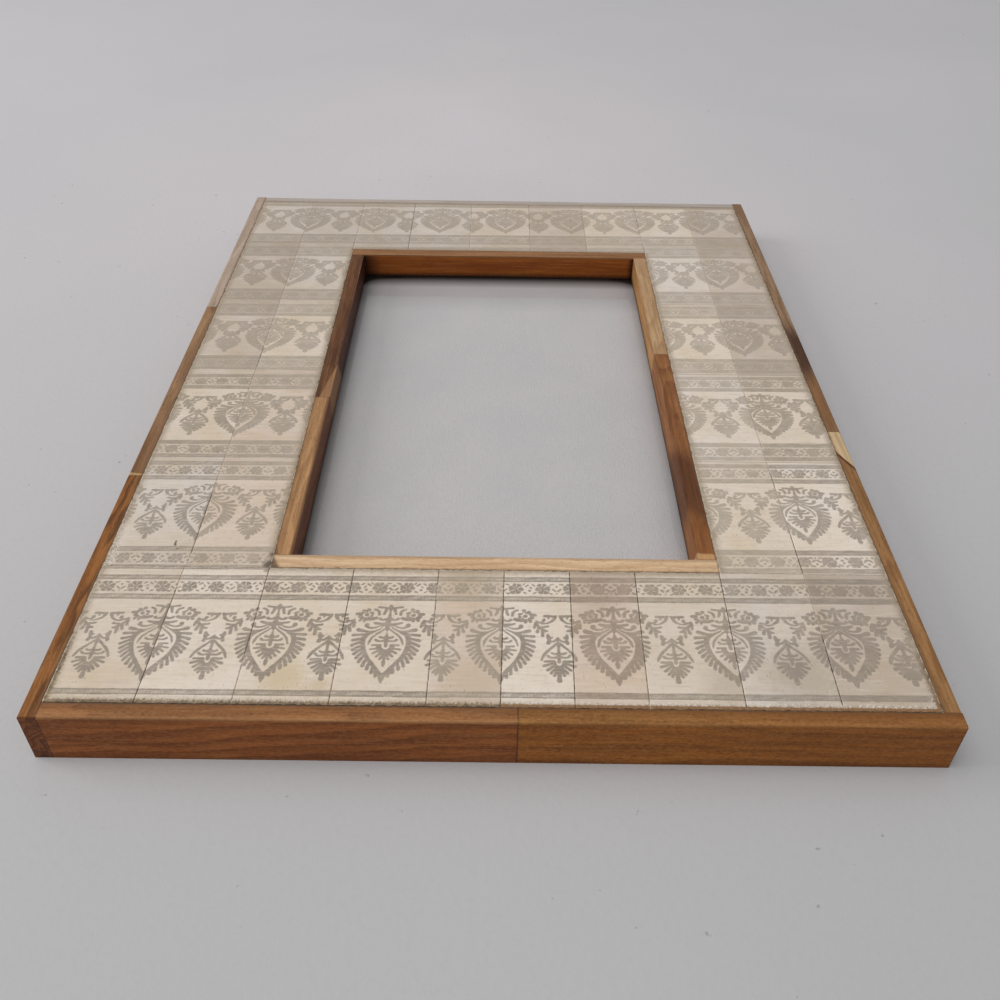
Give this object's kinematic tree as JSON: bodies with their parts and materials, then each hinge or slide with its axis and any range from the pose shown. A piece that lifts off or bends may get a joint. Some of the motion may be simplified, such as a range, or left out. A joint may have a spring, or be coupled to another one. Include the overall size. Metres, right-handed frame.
{
  "type": "picture frame",
  "caption": "Flat photo frame with printed bone tiles, spliced wood edging and lining, a glazed window, and a lift-off back panel with a hinged easel leg and turn buttons.",
  "frame": {"origin": "middle of the underside, on the surface that the frame lies on", "axes": "+X to the right and +Y towards the top of the picture as seen from the front, +Z out of the picture's face; the frame lies on its back"},
  "size_m": [0.176, 0.232, 0.0125],
  "materials": {
    "core_wood": "bare fibreboard core with a dark stained back",
    "red_wood": "reddish-brown hardwood, hand rubbed, satin",
    "honey_wood": "golden-brown hardwood, hand rubbed, satin",
    "pale_wood": "straw-coloured sapwood, hand rubbed, satin",
    "bone": "polished ivory-coloured bone with a grey block-printed border",
    "glass": "clear picture glass",
    "felt_card": "grey felted card",
    "panel_board": "hardboard covered in black paper",
    "brass": "plain stamped brass",
    "steel": "plain steel"
  },
  "bodies": {
    "frame": {"core_rail_near": "core_wood", "core_rail_far": "core_wood", "core_stile_left": "core_wood", "core_stile_right": "core_wood", "edging_near_left": "red_wood", "edging_near_right": "honey_wood", "edging_left_near": "red_wood", "edging_left_middle": "honey_wood", "edging_left_far": "red_wood", "edging_right_near": "honey_wood", "edging_right_far": "red_wood", "edging_far": "honey_wood", "lining_near": "pale_wood", "lining_far": "honey_wood", "lining_left_near": "honey_wood", "lining_left_far": "red_wood", "lining_right_near": "red_wood", "lining_right_far": "pale_wood", "near_tile_1": "bone", "near_tile_2": "bone", "near_tile_3": "bone", "near_tile_4": "bone", "near_tile_5": "bone", "near_tile_6": "bone", "near_tile_7": "bone", "near_tile_8": "bone", "near_tile_9": "bone", "near_tile_10": "bone", "far_tile_1": "bone", "far_tile_2": "bone", "far_tile_3": "bone", "far_tile_4": "bone", "far_tile_5": "bone", "far_tile_6": "bone", "far_tile_7": "bone", "far_tile_8": "bone", "far_tile_9": "bone", "left_outer_tiles": "bone", "left_inner_tiles": "bone", "right_inner_tiles": "bone", "right_outer_tiles": "bone", "glass_pane": "glass", "backing_card": "felt_card", "button_screws": "steel"},
    "back_panel": {"back_panel": "panel_board", "hinge_panel_leaf": "brass", "panel_rivets": "brass", "hinge_pin": "steel"},
    "easel_leg": {"easel_leg": "panel_board", "hinge_leg_leaf": "brass", "leg_rivets": "brass"},
    "turn_button_left_near": {"turn_button_left_near": "brass"},
    "turn_button_left_far": {"turn_button_left_far": "brass"},
    "turn_button_right_near": {"turn_button_right_near": "brass"},
    "turn_button_right_far": {"turn_button_right_far": "brass"}
  },
  "joints": [
    {"name": "panel_lift", "type": "slide", "parent": "frame", "child": "back_panel", "axis": [0, 0, -1], "range_m": [0, 0.02]},
    {"name": "leg_hinge", "type": "hinge", "parent": "back_panel", "child": "easel_leg", "pos_m": [0, 0.04, 0.00105], "axis": [1, 0, 0], "range_deg": [0, 35]},
    {"name": "button_left_near", "type": "hinge", "parent": "frame", "child": "turn_button_left_near", "pos_m": [-0.0561, -0.046, 0.0013], "axis": [0, 0, -1], "range_deg": [0, 90]},
    {"name": "button_left_far", "type": "hinge", "parent": "frame", "child": "turn_button_left_far", "pos_m": [-0.0561, 0.046, 0.0013], "axis": [0, 0, 1], "range_deg": [0, 90]},
    {"name": "button_right_near", "type": "hinge", "parent": "frame", "child": "turn_button_right_near", "pos_m": [0.0561, -0.046, 0.0013], "axis": [0, 0, 1], "range_deg": [0, 90]},
    {"name": "button_right_far", "type": "hinge", "parent": "frame", "child": "turn_button_right_far", "pos_m": [0.0561, 0.046, 0.0013], "axis": [0, 0, -1], "range_deg": [0, 90]}
  ]
}
